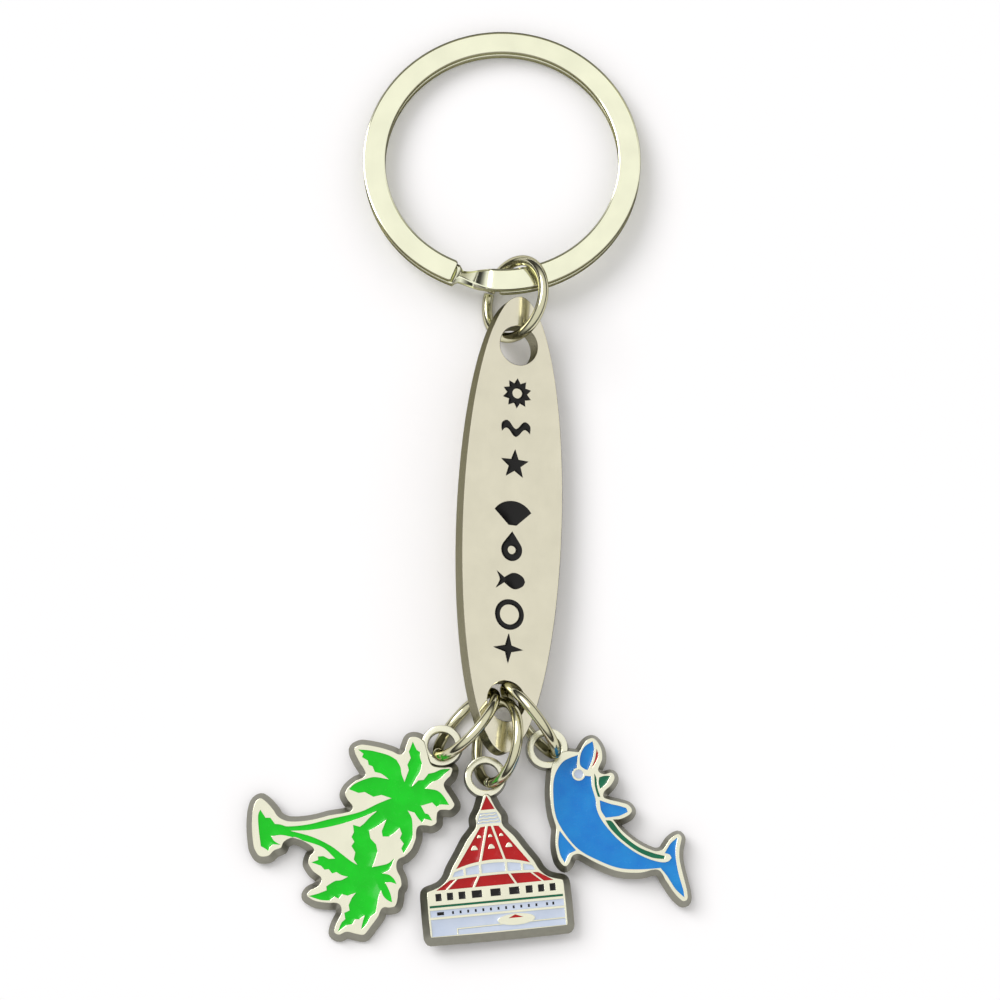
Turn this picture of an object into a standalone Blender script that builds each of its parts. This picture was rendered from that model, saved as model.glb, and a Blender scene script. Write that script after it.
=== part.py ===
"""Souvenir keychain: a split ring, an engraved tag and three soft-enamel charms on jump rings.

The chain lies on its back on a table. X runs across it, +Y points to the split ring, +Z points up.
Sizes are in millimetres, and each mesh is scaled to metres when it is placed.
"""

import math

import bmesh
import bpy
import numpy as np
from mathutils import Matrix, Vector

MM = 0.001
SHARP = 1

# The whole object moves by this much, so that its origin is under the middle of its box.
ORIGIN_SHIFT = Vector((3.297, -2.075, 0.1))

# Split ring: a flat band wound twice, with a joggle where it climbs from the lower turn to the upper.
SPLIT_RING_OUTER = 30.0
BAND_WIDTH = 2.4
BAND_THICKNESS = 0.92
BAND_GAP = 0.06
SPLIT_RING_CENTRE = (0.2, 36.95)
SPLIT_RING_NEAR_LIFT = 2.407
BAND_STEP_DEGREES = 6.0
JOGGLE_START = -111.0
JOGGLE_END = -93.0
BAND_END_CLEARANCE = 2.0

# Jump rings: round wire, bent round until its two ends almost meet.
WIRE = 1.15
JUMP_RING_RADIUS = 4.275
JUMP_RING_SLIT = 0.12
JUMP_RING_STEPS = 30
WIRE_BEVEL_RESOLUTION = 2

# Tag: a long ellipse with a hole near each tip.
TAG_LENGTH = 49.5
TAG_WIDTH = 11.2
TAG_THICKNESS = 2.2
TAG_HOLE = 4.3
TAG_HOLE_OFFSET = 19.3
TAG_CENTRE = Vector((0.96, -3.5, 4.291))
TAG_LEAN = 2.0
TAG_ROLL = 21.487
TAG_PITCH = 1.278
TAG_STEPS = 64
HOLE_STEPS = 24
MOTIF_DEPTH = 0.35
MOTIF_RADIUS = 1.6
MOTIF_STROKE = 0.5
MOTIF_MIDDLES = (14.0, 10.1, 6.2, 0.9, -2.75, -6.4, -10.05, -13.7)
MOTIF_WAVES = 1.5
MOTIF_RIPPLE = 0.45
MOTIF_WAVE_STEPS = 12

# Charms: die-cast plates whose sides slope in from a lip at the back to the face.
CHARM_THICKNESS = 1.7
CHARM_LIP = 0.45
CHARM_DRAFT = 0.5
EYELET_RADIUS = 2.25
EYELET_HOLE_RADIUS = 1.35
EYELET_BASE = 0.15
EYELET_FACE = 1.5
EYELET_DRAFT = 0.2
ENAMEL_DEPTH = 0.5
ENAMEL_GAP = 0.03
ENAMEL_BELOW_RIM = 0.06
OUTLINE_STEP = 0.7
WELD = 0.000001

# Where each jump ring is: its centre, the way its axis points, and the joint that it turns on.
TOP_RING_HINGE = (1.6, 23.15, 3.25)
TOP_RING = dict(centre=(1.615, 21.262, 3.644), axis=(-0.711, 0.064, 0.7))
PALM_RING = dict(centre=(-3.494, -24.999, 4.386), axis=(-0.714, 0.583, 0.388))
PAVILION_RING = dict(centre=(-0.293, -26.868, 4.159), axis=(-0.863, 0.081, 0.498))
DOLPHIN_RING = dict(centre=(3.181, -24.692, 4.792), axis=(-0.787, -0.611, 0.079))

# Where each charm's eyelet is, halfway through its thickness, and how the charm lies.
PALM_PLACE = dict(eyelet=(-6.116, -26.912, 2.097), turn=0.0, lean=(-0.006, -0.061))
PAVILION_PLACE = dict(eyelet=(-1.535, -30.281, 2.457), turn=5.5, lean=(0.017, -0.022))
DOLPHIN_PLACE = dict(eyelet=(4.945, -27.247, 2.247), turn=0.0, lean=(0.029, -0.028))

# Linear colours, with metallic and roughness values.
NICKEL = ((0.62, 0.60, 0.50), 1.0, 0.22)
BLACK = ((0.01, 0.01, 0.01), 0.0, 0.30)
GREEN = ((0.0, 0.55, 0.01), 0.0, 0.30)
BLUE = ((0.02, 0.22, 0.68), 0.0, 0.30)
TEAL = ((0.01, 0.19, 0.09), 0.0, 0.30)
RED = ((0.56, 0.01, 0.01), 0.0, 0.30)
WHITE = ((0.72, 0.76, 0.86), 0.0, 0.35)

# Palm charm, seen from the front, from the middle of its eyelet. The ground is on the left.
PALM_FACE = [
    (-18.9, -5.4), (-18.0, -6.0), (-17.4, -6.7), (-17.0, -7.3), (-16.0, -7.8), (-13.8, -7.7), (-11.7, -7.2),
    (-9.4, -6.6), (-9.9, -5.8), (-10.2, -5.1), (-9.9, -4.4), (-9.0, -3.6), (-8.1, -3.1), (-8.6, -2.0),
    (-9.2, -0.8), (-9.2, -0.2), (-8.5, 0.2), (-6.4, -0.1), (-5.1, -0.5), (-4.2, -0.8), (-3.8, 0.1),
    (-3.4, 0.9), (-2.6, 1.0), (-1.8, 0.5), (-1.3, -1.0), (-0.9, -2.0), (0.2, -2.2), (1.2, -2.3),
    (1.1, -3.2), (0.4, -4.1), (0.9, -5.1), (1.5, -6.3), (1.0, -6.9), (-0.2, -7.0), (-0.4, -8.2),
    (-1.0, -8.6), (-2.3, -8.6), (-2.5, -9.7), (-3.0, -11.0), (-3.7, -11.7), (-4.4, -12.1), (-4.5, -12.9),
    (-4.1, -13.8), (-4.0, -14.7), (-4.3, -15.2), (-4.4, -16.1), (-4.7, -16.9), (-5.4, -17.1), (-6.0, -17.1),
    (-6.4, -17.9), (-7.2, -19.0), (-8.0, -19.9), (-8.9, -19.8), (-9.8, -19.6), (-10.6, -19.9),
    (-11.2, -19.6), (-11.0, -18.5), (-10.5, -17.4), (-10.7, -16.7), (-11.7, -16.6), (-13.1, -16.4),
    (-14.1, -15.7), (-13.8, -15.1), (-12.9, -14.6), (-12.6, -14.0), (-13.4, -13.3), (-14.0, -12.3),
    (-13.8, -11.5), (-13.4, -11.0), (-14.2, -10.3), (-15.5, -9.8), (-16.3, -10.2), (-16.6, -10.8),
    (-17.3, -11.1), (-18.0, -11.7), (-19.0, -11.7), (-19.6, -10.9), (-19.9, -8.6), (-19.8, -6.7),
    (-19.5, -5.8),
]
PALM_GREEN = [
    (-18.9, -6.75), (-18.35, -7.6), (-17.85, -7.6), (-17.35, -8.25), (-16.8, -8.3), (-16.1, -8.5),
    (-13.9, -8.3), (-11.7, -7.75), (-8.5, -7.0), (-6.55, -6.1), (-5.2, -5.55), (-6.25, -5.2), (-7.1, -5.4),
    (-8.0, -4.9), (-8.65, -5.0), (-9.65, -4.6), (-9.05, -4.05), (-7.75, -3.5), (-6.95, -3.35),
    (-5.45, -3.6), (-6.25, -3.0), (-6.95, -2.8), (-7.2, -2.2), (-7.6, -2.05), (-7.7, -1.6), (-8.3, -1.25),
    (-8.15, -0.9), (-8.7, -0.45), (-7.5, -0.55), (-6.4, -0.8), (-5.45, -1.1), (-4.7, -1.55), (-4.3, -2.3),
    (-4.15, -3.1), (-3.85, -3.85), (-3.4, -2.6), (-3.55, -2.05), (-3.2, -1.35), (-3.4, -0.7), (-3.0, 0.35),
    (-2.6, -0.5), (-2.2, -0.75), (-2.25, -1.25), (-2.05, -1.9), (-2.25, -2.8), (-2.65, -3.45),
    (-3.15, -4.45), (-2.4, -3.7), (-1.85, -3.65), (-1.35, -3.0), (-0.7, -2.85), (0.0, -2.55), (0.9, -2.5),
    (0.25, -3.1), (-0.3, -3.6), (-0.95, -3.85), (-1.7, -4.55), (-0.5, -4.75), (0.1, -5.2), (0.8, -6.25),
    (0.0, -6.2), (-0.5, -6.45), (-0.95, -6.0), (-2.15, -6.35), (-1.7, -7.15), (-1.35, -7.25), (-0.95, -7.9),
    (-1.75, -7.7), (-2.0, -8.1), (-2.4, -7.65), (-2.8, -7.05), (-3.5, -6.85), (-3.1, -7.65), (-3.0, -8.75),
    (-3.05, -9.75), (-3.5, -10.65), (-3.9, -11.3), (-4.15, -10.8), (-3.9, -10.3), (-4.3, -9.75),
    (-4.1, -9.25), (-4.35, -8.65), (-4.8, -9.1), (-5.45, -9.55), (-6.1, -9.55), (-6.2, -9.0), (-5.7, -7.75),
    (-6.5, -8.35), (-7.55, -8.95), (-7.4, -9.75), (-6.8, -10.4), (-6.65, -11.1), (-6.9, -11.95),
    (-7.2, -12.75), (-6.4, -12.6), (-5.5, -12.35), (-4.9, -11.85), (-5.2, -12.6), (-5.45, -13.05),
    (-6.15, -13.4), (-5.45, -13.55), (-4.95, -13.95), (-4.65, -14.5), (-5.3, -14.3), (-5.85, -14.35),
    (-5.5, -15.0), (-5.25, -15.65), (-5.1, -16.4), (-5.6, -16.15), (-6.0, -15.75), (-6.25, -15.15),
    (-6.5, -15.75), (-6.65, -16.55), (-6.8, -17.45), (-7.35, -17.9), (-7.75, -18.65), (-8.3, -19.25),
    (-8.15, -18.5), (-7.9, -17.7), (-8.5, -18.15), (-8.95, -18.15), (-9.2, -18.65), (-9.85, -18.8),
    (-10.7, -19.45), (-10.35, -18.55), (-9.95, -18.15), (-10.05, -17.5), (-9.5, -17.25), (-9.6, -16.7),
    (-9.3, -16.0), (-8.85, -15.4), (-9.75, -15.7), (-10.3, -15.55), (-10.65, -16.0), (-11.1, -15.8),
    (-11.6, -16.2), (-12.5, -16.15), (-13.75, -15.75), (-12.8, -15.5), (-11.9, -15.15), (-11.95, -14.75),
    (-11.05, -14.2), (-10.4, -14.1), (-9.7, -13.75), (-10.4, -13.55), (-10.9, -13.25), (-11.35, -13.4),
    (-11.7, -12.95), (-12.15, -13.0), (-12.5, -12.6), (-13.5, -12.25), (-12.8, -12.0), (-12.85, -11.65),
    (-12.3, -11.6), (-11.7, -11.9), (-11.05, -11.85), (-12.3, -10.7), (-14.1, -10.05), (-16.5, -9.4),
    (-17.75, -9.5), (-17.45, -10.0), (-16.8, -10.4), (-17.5, -10.35), (-17.9, -10.65), (-18.0, -11.05),
    (-18.35, -10.8), (-18.8, -10.55), (-19.05, -8.6), (-19.1, -7.3),
]
PALM_CLEARING = [
    (-15.8, -8.95), (-13.6, -8.85), (-10.9, -8.35), (-8.5, -7.6), (-6.65, -6.85), (-7.5, -7.6),
    (-8.05, -8.2), (-8.5, -8.55), (-9.2, -8.35), (-9.1, -9.1), (-9.35, -9.6), (-9.05, -10.1),
    (-9.35, -10.55), (-8.95, -11.2), (-9.1, -11.95), (-8.7, -12.55), (-9.45, -12.1), (-10.1, -11.6),
    (-11.5, -10.55), (-13.45, -9.6),
]

# Dolphin charm, from the middle of its eyelet. The snout is at the top and the tail at the lower right.
DOLPHIN_FACE = [
    (0.5, -1.9), (1.2, -0.7), (2.2, -0.35), (3.3, -0.4), (3.6, 0.1), (4.1, 0.8), (4.7, 1.05), (5.2, 0.7),
    (5.65, -0.2), (5.7, -1.2), (5.3, -2.4), (5.9, -2.75), (6.7, -2.6), (7.0, -3.1), (6.6, -3.9),
    (5.9, -4.6), (5.85, -5.15), (7.0, -5.55), (8.4, -5.95), (8.8, -6.5), (8.5, -7.0), (7.6, -7.45),
    (6.8, -7.5), (7.2, -8.0), (8.0, -8.9), (9.6, -10.1), (11.3, -10.8), (12.0, -10.6), (12.8, -9.5),
    (13.6, -9.0), (13.95, -9.3), (13.75, -10.5), (13.75, -11.7), (14.1, -13.3), (14.5, -15.0),
    (14.5, -15.8), (14.1, -16.0), (13.2, -15.2), (12.2, -13.7), (11.5, -12.75), (9.6, -13.05), (7.3, -12.9),
    (5.1, -12.05), (3.2, -11.1), (2.6, -11.3), (2.2, -12.1), (1.8, -12.4), (1.25, -11.9), (0.85, -10.5),
    (0.85, -9.2), (0.9, -8.4), (0.5, -7.0), (0.25, -5.0), (0.3, -3.4),
]
DOLPHIN_BODY = [
    (4.55, -3.0), (4.6, -4.0), (5.0, -5.4), (5.1, -6.35), (5.5, -7.35), (6.15, -8.3), (7.5, -9.75),
    (9.3, -11.05), (10.9, -11.75), (11.9, -11.97), (12.55, -11.87), (12.9, -11.5), (12.7, -11.15, SHARP),
    (12.2, -11.0, SHARP), (12.85, -9.95), (13.55, -9.35, SHARP), (13.35, -10.35), (13.35, -11.65),
    (13.65, -13.3), (14.1, -14.9), (14.2, -15.6, SHARP), (13.3, -14.75), (12.4, -13.35),
    (11.75, -12.55, SHARP), (9.5, -12.7), (7.35, -12.55), (5.2, -11.75), (3.25, -10.65), (1.8, -9.0),
    (0.9, -7.3), (0.6, -5.1), (0.75, -2.95), (1.7, -1.4), (3.2, -0.75, SHARP), (3.05, -1.6, SHARP),
]
DOLPHIN_EYE_CENTRE = (3.25, -2.75)
DOLPHIN_EYE_RADIUS = 0.48
DOLPHIN_EYE_RIM = 0.22
DOLPHIN_SNOUT = [
    (4.7, 0.7, SHARP), (4.85, 0.0), (4.65, -1.25), (4.2, -2.3, SHARP), (3.95, -2.25, SHARP),
    (3.45, -1.85), (3.45, -0.75), (3.95, 0.2),
]
DOLPHIN_MOUTH = [(5.15, -0.1, SHARP), (5.3, -0.75), (5.0, -1.55), (4.55, -2.2, SHARP), (4.95, -1.2)]
DOLPHIN_FAR_FLIPPER = [(5.4, -3.1), (6.55, -2.95, SHARP), (6.1, -3.75), (5.5, -4.3, SHARP)]
DOLPHIN_NEAR_FLIPPER = [
    (5.45, -5.5, SHARP), (6.65, -5.9), (8.2, -6.3), (8.35, -6.7), (7.5, -7.1), (6.05, -7.3, SHARP),
    (5.6, -6.6),
]
DOLPHIN_CHIN = [
    (4.9, -2.7, SHARP), (5.1, -3.2), (5.2, -4.2), (5.5, -5.15, SHARP), (5.25, -5.1, SHARP), (4.95, -4.0),
]
DOLPHIN_BELLY = [
    (6.05, -7.6, SHARP), (6.6, -7.65), (7.75, -9.05), (9.5, -10.4), (11.3, -11.1), (12.2, -11.3, SHARP),
    (12.15, -11.6, SHARP), (11.0, -11.5), (9.35, -10.8), (7.6, -9.5), (6.5, -8.35),
]
DOLPHIN_DORSAL = [
    (1.25, -8.7, SHARP), (1.9, -9.55), (2.95, -10.75, SHARP), (2.25, -11.1), (1.8, -12.05, SHARP),
    (1.35, -11.3), (1.1, -10.0),
]

# Pavilion charm, upright, from the middle of its eyelet. It is the same on both sides of X = PAVILION_MIDDLE.
PAVILION_MIDDLE = -0.1
SPIRE = dict(top=-2.05, bottom=-3.5, half_width=0.72)
LANTERN = dict(top=-3.85, bottom=-4.95, half_top=0.85, half_bottom=1.25)
CONE = dict(top=-5.3, bottom=-9.4, half_top=0.95, half_bottom=3.85, arches=(0.05, 0.65))
CONE_RIBS = (0.28, 1.25)
BAND = dict(top=-9.72, bottom=-10.2, half_top=4.05, half_bottom=4.3, arches=(0.62, 0.12))
BAND_SPLITS = (-3.0, -1.35, 1.35, 3.0)
SKIRT = dict(top=-10.5, bottom=-11.45, half_top=4.6, half_bottom=6.1, arches=(0.14, 0.0))
SKIRT_SPLITS = ((-3.9, -5.0), (-1.6, -2.2), (1.6, 2.2), (3.9, 5.0))
WINDOW_TOP = -11.8
WINDOW_BOTTOM = -12.55
# Each window's middle and width, from left to right.
WINDOWS = (
    (-5.95, 0.6), (-4.75, 0.62), (-3.5, 0.7), (-1.95, 1.05), (0.0, 1.05), (1.95, 1.05), (3.5, 0.7),
    (4.75, 0.62), (5.95, 0.6),
)
CORNICE = (-13.0, -13.22)
WALL_HALF_WIDTH = 6.95
UPPER_WALL = (-13.5, -14.2)
LOWER_WALL = (-14.45, -16.2)
CANOPY = [(1.0, -14.98), (2.5, -14.98), (1.7, -14.66)]
CANOPY_ISLAND = dict(centre=(1.78, -15.15), half_width=1.95, half_height=0.6, steps=24)
PAVILION_LINE = 0.26
PAVILION_STEP = 0.9
PAVILION_FACE_RIGHT = [
    (0.0, -1.65), (1.05, -3.3), (1.55, -4.2), (1.6, -5.1), (2.6, -6.3), (3.5, -7.7), (4.5, -9.2),
    (4.95, -10.1), (5.6, -10.75), (7.2, -11.35, SHARP), (7.35, -11.8), (7.35, -16.2), (7.1, -16.5, SHARP),
]


def clear_scene():
    for item in list(bpy.data.objects):
        bpy.data.objects.remove(item)


def make_material(name, finish):
    colour, metallic, roughness = finish
    material = bpy.data.materials.new(name)
    material.use_nodes = True
    shader = material.node_tree.nodes["Principled BSDF"]
    shader.inputs["Base Color"].default_value = (*colour, 1.0)
    shader.inputs["Metallic"].default_value = metallic
    shader.inputs["Roughness"].default_value = roughness
    material.diffuse_color = (*colour, 1.0)
    return material


def make_collection(name):
    collection = bpy.data.collections.new(name)
    bpy.context.scene.collection.children.link(collection)
    return collection


def smooth(points, step=OUTLINE_STEP):
    """A closed outline through the points, round everywhere except at the sharp ones."""
    spots = [Vector(point[:2]) for point in points]
    sharp = [len(point) > 2 for point in points]
    count = len(spots)
    outline = []
    for i in range(count):
        after = (i + 1) % count
        chord = spots[after] - spots[i]
        leaving = chord if sharp[i] else (spots[after] - spots[i - 1]).normalized() * chord.length
        onward = (spots[(i + 2) % count] - spots[i]).normalized() * chord.length
        arriving = chord if sharp[after] else onward
        parts = max(1, round(chord.length / step))
        for t in (k / parts for k in range(parts)):
            spot = spots[i] * (2 * t**3 - 3 * t**2 + 1) + leaving * (t**3 - 2 * t**2 + t)
            spot += spots[after] * (3 * t**2 - 2 * t**3) + arriving * (t**3 - t**2)
            outline.append(tuple(spot))
    return outline


def circle(radius, centre=(0.0, 0.0), steps=HOLE_STEPS):
    angles = [2 * math.pi * k / steps for k in range(steps)]
    return [(centre[0] + radius * math.cos(a), centre[1] + radius * math.sin(a)) for a in angles]


def arc(centre, radius, start, end, steps):
    angles = [math.radians(start + (end - start) * k / steps) for k in range(steps + 1)]
    return [(centre[0] + radius * math.cos(a), centre[1] + radius * math.sin(a)) for a in angles]


def distances_to(spots, outline):
    """How far each spot is from the closed outline."""
    ends = np.roll(outline, -1, axis=0)
    edges = ends - outline
    reach = spots[:, None, :] - outline[None]
    along = np.clip((reach * edges).sum(2) / (edges**2).sum(1), 0.0, 1.0)
    return np.linalg.norm(reach - along[..., None] * edges, axis=2).min(axis=1)


def grown(outline, distance):
    """The outline moved outwards. Where that folds it in a tight corner, the fold is pulled straight."""
    spots = np.array(outline)
    x, y = spots.T
    if (x * np.roll(y, -1) - y * np.roll(x, -1)).sum() < 0:
        spots = spots[::-1]
    edges = np.roll(spots, -1, axis=0) - spots
    normals = np.stack([edges[:, 1], -edges[:, 0]], axis=1)
    normals /= np.linalg.norm(normals, axis=1)[:, None]
    corners = normals + np.roll(normals, 1, axis=0)
    corners /= np.linalg.norm(corners, axis=1)[:, None]
    cosines = np.maximum((corners * normals).sum(axis=1), 0.6)
    moved = spots + corners * (distance / cosines)[:, None]
    kept = np.flatnonzero(distances_to(moved, spots) >= 0.97 * abs(distance))
    everywhere = np.arange(len(spots))
    straight = [np.interp(everywhere, kept, moved[kept, axis], period=len(spots)) for axis in (0, 1)]
    return [tuple(spot) for spot in np.stack(straight, axis=1)]


def plan_mesh(name, outlines, low, high):
    """A slab from low to high with the outlines as its plan. An outline inside another is a hole."""
    plan = bpy.data.curves.new(name, "CURVE")
    plan.dimensions = "2D"
    plan.fill_mode = "BOTH"
    plan.extrude = (high - low) / 2 * MM
    for outline in outlines:
        spline = plan.splines.new("POLY")
        spline.points.add(len(outline) - 1)
        for point, (x, y) in zip(spline.points, outline):
            point.co = (x * MM, y * MM, 0.0, 1.0)
        spline.use_cyclic_u = True
    return mesh_of_curve(plan, (high + low) / 2)


def mesh_of_curve(curve, rise=0.0):
    """The curve's surface as a welded mesh, moved up by rise."""
    guide = bpy.data.objects.new(curve.name, curve)
    bpy.context.scene.collection.objects.link(guide)
    bpy.context.view_layer.update()
    graph = bpy.context.evaluated_depsgraph_get()
    mesh = bpy.data.meshes.new_from_object(guide.evaluated_get(graph))
    bpy.data.objects.remove(guide)
    shape = bmesh.new()
    shape.from_mesh(mesh)
    bmesh.ops.remove_doubles(shape, verts=shape.verts, dist=WELD)
    bmesh.ops.translate(shape, verts=shape.verts, vec=(0.0, 0.0, rise * MM))
    bmesh.ops.recalc_face_normals(shape, faces=shape.faces)
    shape.to_mesh(mesh)
    shape.free()
    return mesh


def drafted_mesh(name, face, levels):
    """A closed body through the face outline grown by each level's (distance, height)."""
    shape = bmesh.new()
    loops = []
    for distance, height in levels:
        loops.append([shape.verts.new((x * MM, y * MM, height * MM)) for x, y in grown(face, distance)])
    shape.faces.new(reversed(loops[0]))
    shape.faces.new(loops[-1])
    for lower, upper in zip(loops, loops[1:]):
        for i in range(len(lower)):
            shape.faces.new((lower[i - 1], lower[i], upper[i], upper[i - 1]))
    mesh = bpy.data.meshes.new(name)
    shape.to_mesh(mesh)
    shape.free()
    return mesh


def frame(origin, across, normal):
    """The matrix that puts a piece's origin, X and Z axes in the world."""
    up = Vector(normal).normalized()
    side = Vector(across)
    side = (side - up * side.dot(up)).normalized()
    turn = Matrix((side, up.cross(side), up)).transposed().to_4x4()
    return Matrix.Translation((Vector(origin) + ORIGIN_SHIFT) * MM) @ turn


def add_piece(name, mesh, finish, place, pivot=None):
    """A piece of the keychain, at its place, with its parent empty on the axis that it turns on."""
    piece = bpy.data.objects.new(name, mesh)
    mesh.materials.clear()
    mesh.materials.append(make_material(name + "_finish", finish))
    PIECES.objects.link(piece)
    hang(piece, place, pivot)
    return piece


def hang(item, place, pivot):
    item.matrix_world = place
    if pivot:
        item.parent = pivot
        item.matrix_parent_inverse = Matrix.Translation(pivot.location).inverted()


def add_pivot(name, spot):
    pivot = bpy.data.objects.new(name, None)
    pivot.location = (Vector(spot) + ORIGIN_SHIFT) * MM
    pivot.empty_display_size = 2 * MM
    PIECES.objects.link(pivot)
    return pivot


def add_boolean(piece, mesh, operation, pivot=None):
    """Joins a helper to the piece or cuts it away. The helper stays in the scene as a wire shape."""
    helper = bpy.data.objects.new(f"{piece.name}_{mesh.name}_{operation.lower()}", mesh)
    helper.hide_render = True
    helper.display_type = "WIRE"
    CUTTERS.objects.link(helper)
    hang(helper, piece.matrix_world.copy(), pivot)
    modifier = piece.modifiers.new(helper.name, "BOOLEAN")
    modifier.operation = operation
    modifier.object = helper


def ring_mesh(name):
    """Round wire bent into a ring in its XY plane, with a narrow slit at its +X side."""
    wire = bpy.data.curves.new(name, "CURVE")
    wire.dimensions = "3D"
    wire.bevel_depth = WIRE / 2 * MM
    wire.bevel_resolution = WIRE_BEVEL_RESOLUTION
    wire.use_fill_caps = True
    spline = wire.splines.new("POLY")
    spline.points.add(JUMP_RING_STEPS)
    slit = JUMP_RING_SLIT / JUMP_RING_RADIUS
    for k, point in enumerate(spline.points):
        angle = slit / 2 + (2 * math.pi - slit) * k / JUMP_RING_STEPS
        radius = JUMP_RING_RADIUS * MM
        point.co = (radius * math.cos(angle), radius * math.sin(angle), 0.0, 1.0)
    return mesh_of_curve(wire)


def band_height(angle):
    """The height of the band's middle over the lower turn's, as it climbs through the joggle."""
    rise = (angle - JOGGLE_START - 360) / (JOGGLE_END - JOGGLE_START)
    rise = min(max(rise, 0.0), 1.0)
    return (BAND_THICKNESS + BAND_GAP) * (3 * rise**2 - 2 * rise**3)


def split_ring_mesh(name):
    """The flat band's two turns, as one sweep from its lower end to its upper end."""
    section = bpy.data.curves.new(name + "_section", "CURVE")
    section.dimensions = "2D"
    outline = section.splines.new("POLY")
    outline.points.add(3)
    for point, (side, level) in zip(outline.points, ((-1, -1), (1, -1), (1, 1), (-1, 1))):
        point.co = (side * BAND_WIDTH / 2 * MM, level * BAND_THICKNESS / 2 * MM, 0.0, 1.0)
    outline.use_cyclic_u = True
    profile = bpy.data.objects.new(name + "_section", section)
    bpy.context.scene.collection.objects.link(profile)

    path = bpy.data.curves.new(name, "CURVE")
    path.dimensions = "3D"
    path.twist_mode = "Z_UP"
    path.bevel_mode = "OBJECT"
    path.bevel_object = profile
    path.use_fill_caps = True
    first = JOGGLE_END + BAND_END_CLEARANCE
    last = JOGGLE_START + 720 - BAND_END_CLEARANCE
    steps = round((last - first) / BAND_STEP_DEGREES)
    radius = (SPLIT_RING_OUTER - BAND_WIDTH) / 2
    spline = path.splines.new("POLY")
    spline.points.add(steps)
    for k, point in enumerate(spline.points):
        degrees = first + (last - first) * k / steps
        angle = math.radians(degrees)
        height = band_height(degrees) + BAND_THICKNESS / 2
        point.co = (radius * math.cos(angle) * MM, radius * math.sin(angle) * MM, height * MM, 1.0)
    mesh = mesh_of_curve(path)
    bpy.data.objects.remove(profile)
    return mesh


def nearest_on_ring(ring, spot):
    """The point of the ring's wire centre line nearest to the spot, and the wire's direction there."""
    axis = Vector(ring["axis"]).normalized()
    reach = Vector(spot) - Vector(ring["centre"])
    reach = (reach - axis * reach.dot(axis)).normalized()
    return Vector(ring["centre"]) + reach * JUMP_RING_RADIUS, axis.cross(reach)


def tag_frame():
    """The tag's matrix: Y runs up its length and Z out of its face, from the middle of the body."""
    lean = math.radians(TAG_LEAN)
    across = Vector((math.cos(lean), -math.sin(lean), 0.0))
    along = Vector((math.sin(lean), math.cos(lean), 0.0))
    along = Matrix.Rotation(-math.radians(TAG_PITCH), 3, across) @ along
    normal = Matrix.Rotation(math.radians(TAG_ROLL), 3, along) @ across.cross(along)
    return frame(TAG_CENTRE, along.cross(normal), normal)


def in_tag(x, y, z=0.0):
    """A point of the tag's own frame, in world millimetres before the origin shift."""
    return tag_frame() @ (Vector((x, y, z)) * MM) / MM - ORIGIN_SHIFT


def charm_frame(place):
    turn = math.radians(place["turn"])
    return frame(place["eyelet"], (math.cos(turn), math.sin(turn), 0.0), (*place["lean"], 1.0))


def build_split_ring():
    """The split ring, which rests on its far edge and on the top jump ring."""
    x, y = SPLIT_RING_CENTRE
    slope = SPLIT_RING_NEAR_LIFT / SPLIT_RING_OUTER
    place = frame((x, y, SPLIT_RING_NEAR_LIFT / 2), (1.0, 0.0, 0.0), (0.0, slope, 1.0))
    add_piece("split_ring", split_ring_mesh("split_ring"), NICKEL, place)


def build_jump_ring(name, ring, slit_towards, pivot):
    place = frame(ring["centre"], slit_towards, ring["axis"])
    add_piece(name, ring_mesh(name), NICKEL, place, pivot)


def wave(low, high, rise, stroke):
    """A rippled stripe across the motif, one stroke high."""
    steps = MOTIF_WAVE_STEPS
    xs = [low + (high - low) * k / steps for k in range(steps + 1)]
    ripple = [MOTIF_RIPPLE * math.sin(2 * math.pi * (x - low) / (high - low) * MOTIF_WAVES) for x in xs]
    lower = [(x, rise + y - stroke / 2) for x, y in zip(xs, ripple)]
    upper = [(x, rise + y + stroke / 2) for x, y in zip(xs, ripple)]
    return lower + upper[::-1]


def star(outer, inner, points, turn=90.0):
    """A star with the given number of points."""
    angles = [math.radians(turn + 180 * k / points) for k in range(2 * points)]
    reach = [outer if k % 2 == 0 else inner for k in range(2 * points)]
    return [(r * math.cos(a), r * math.sin(a)) for r, a in zip(reach, angles)]


def motif_outlines():
    """The eight enamel ornaments down the tag: each one's outlines, where an inner outline is a hole."""
    big = MOTIF_RADIUS
    stroke = MOTIF_STROKE
    sun = star(big, big * 0.68, 10)
    shell = arc((0.0, -big * 0.75), big * 1.55, 35.0, 145.0, 10) + [(-0.45, -big * 0.8), (0.45, -big * 0.8)]
    drop = arc((0.0, -0.35), big * 0.72, -215.0, 35.0, 14) + [(0.0, big)]
    fish = smooth([(big, 0.0), (0.5, 0.85), (-0.7, 0.25, SHARP), (-big, 0.9, SHARP), (-big * 0.75, 0.0),
                   (-big, -0.9, SHARP), (-0.7, -0.25, SHARP), (0.5, -0.85)], 0.4)
    return [
        ("sun", [sun, circle(big * 0.36, steps=12)]),
        ("wave", [wave(-big, big, 0.0, stroke * 1.6)]),
        ("starfish", [star(big, big * 0.42, 5)]),
        ("shell", [shell]),
        ("droplet", [drop, circle(big * 0.3, (0.0, -0.35), 12)]),
        ("fish", [fish]),
        ("ring", [circle(big, steps=20), circle(big - stroke, steps=16)]),
        ("compass", [star(big, big * 0.3, 4)]),
    ]


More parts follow.
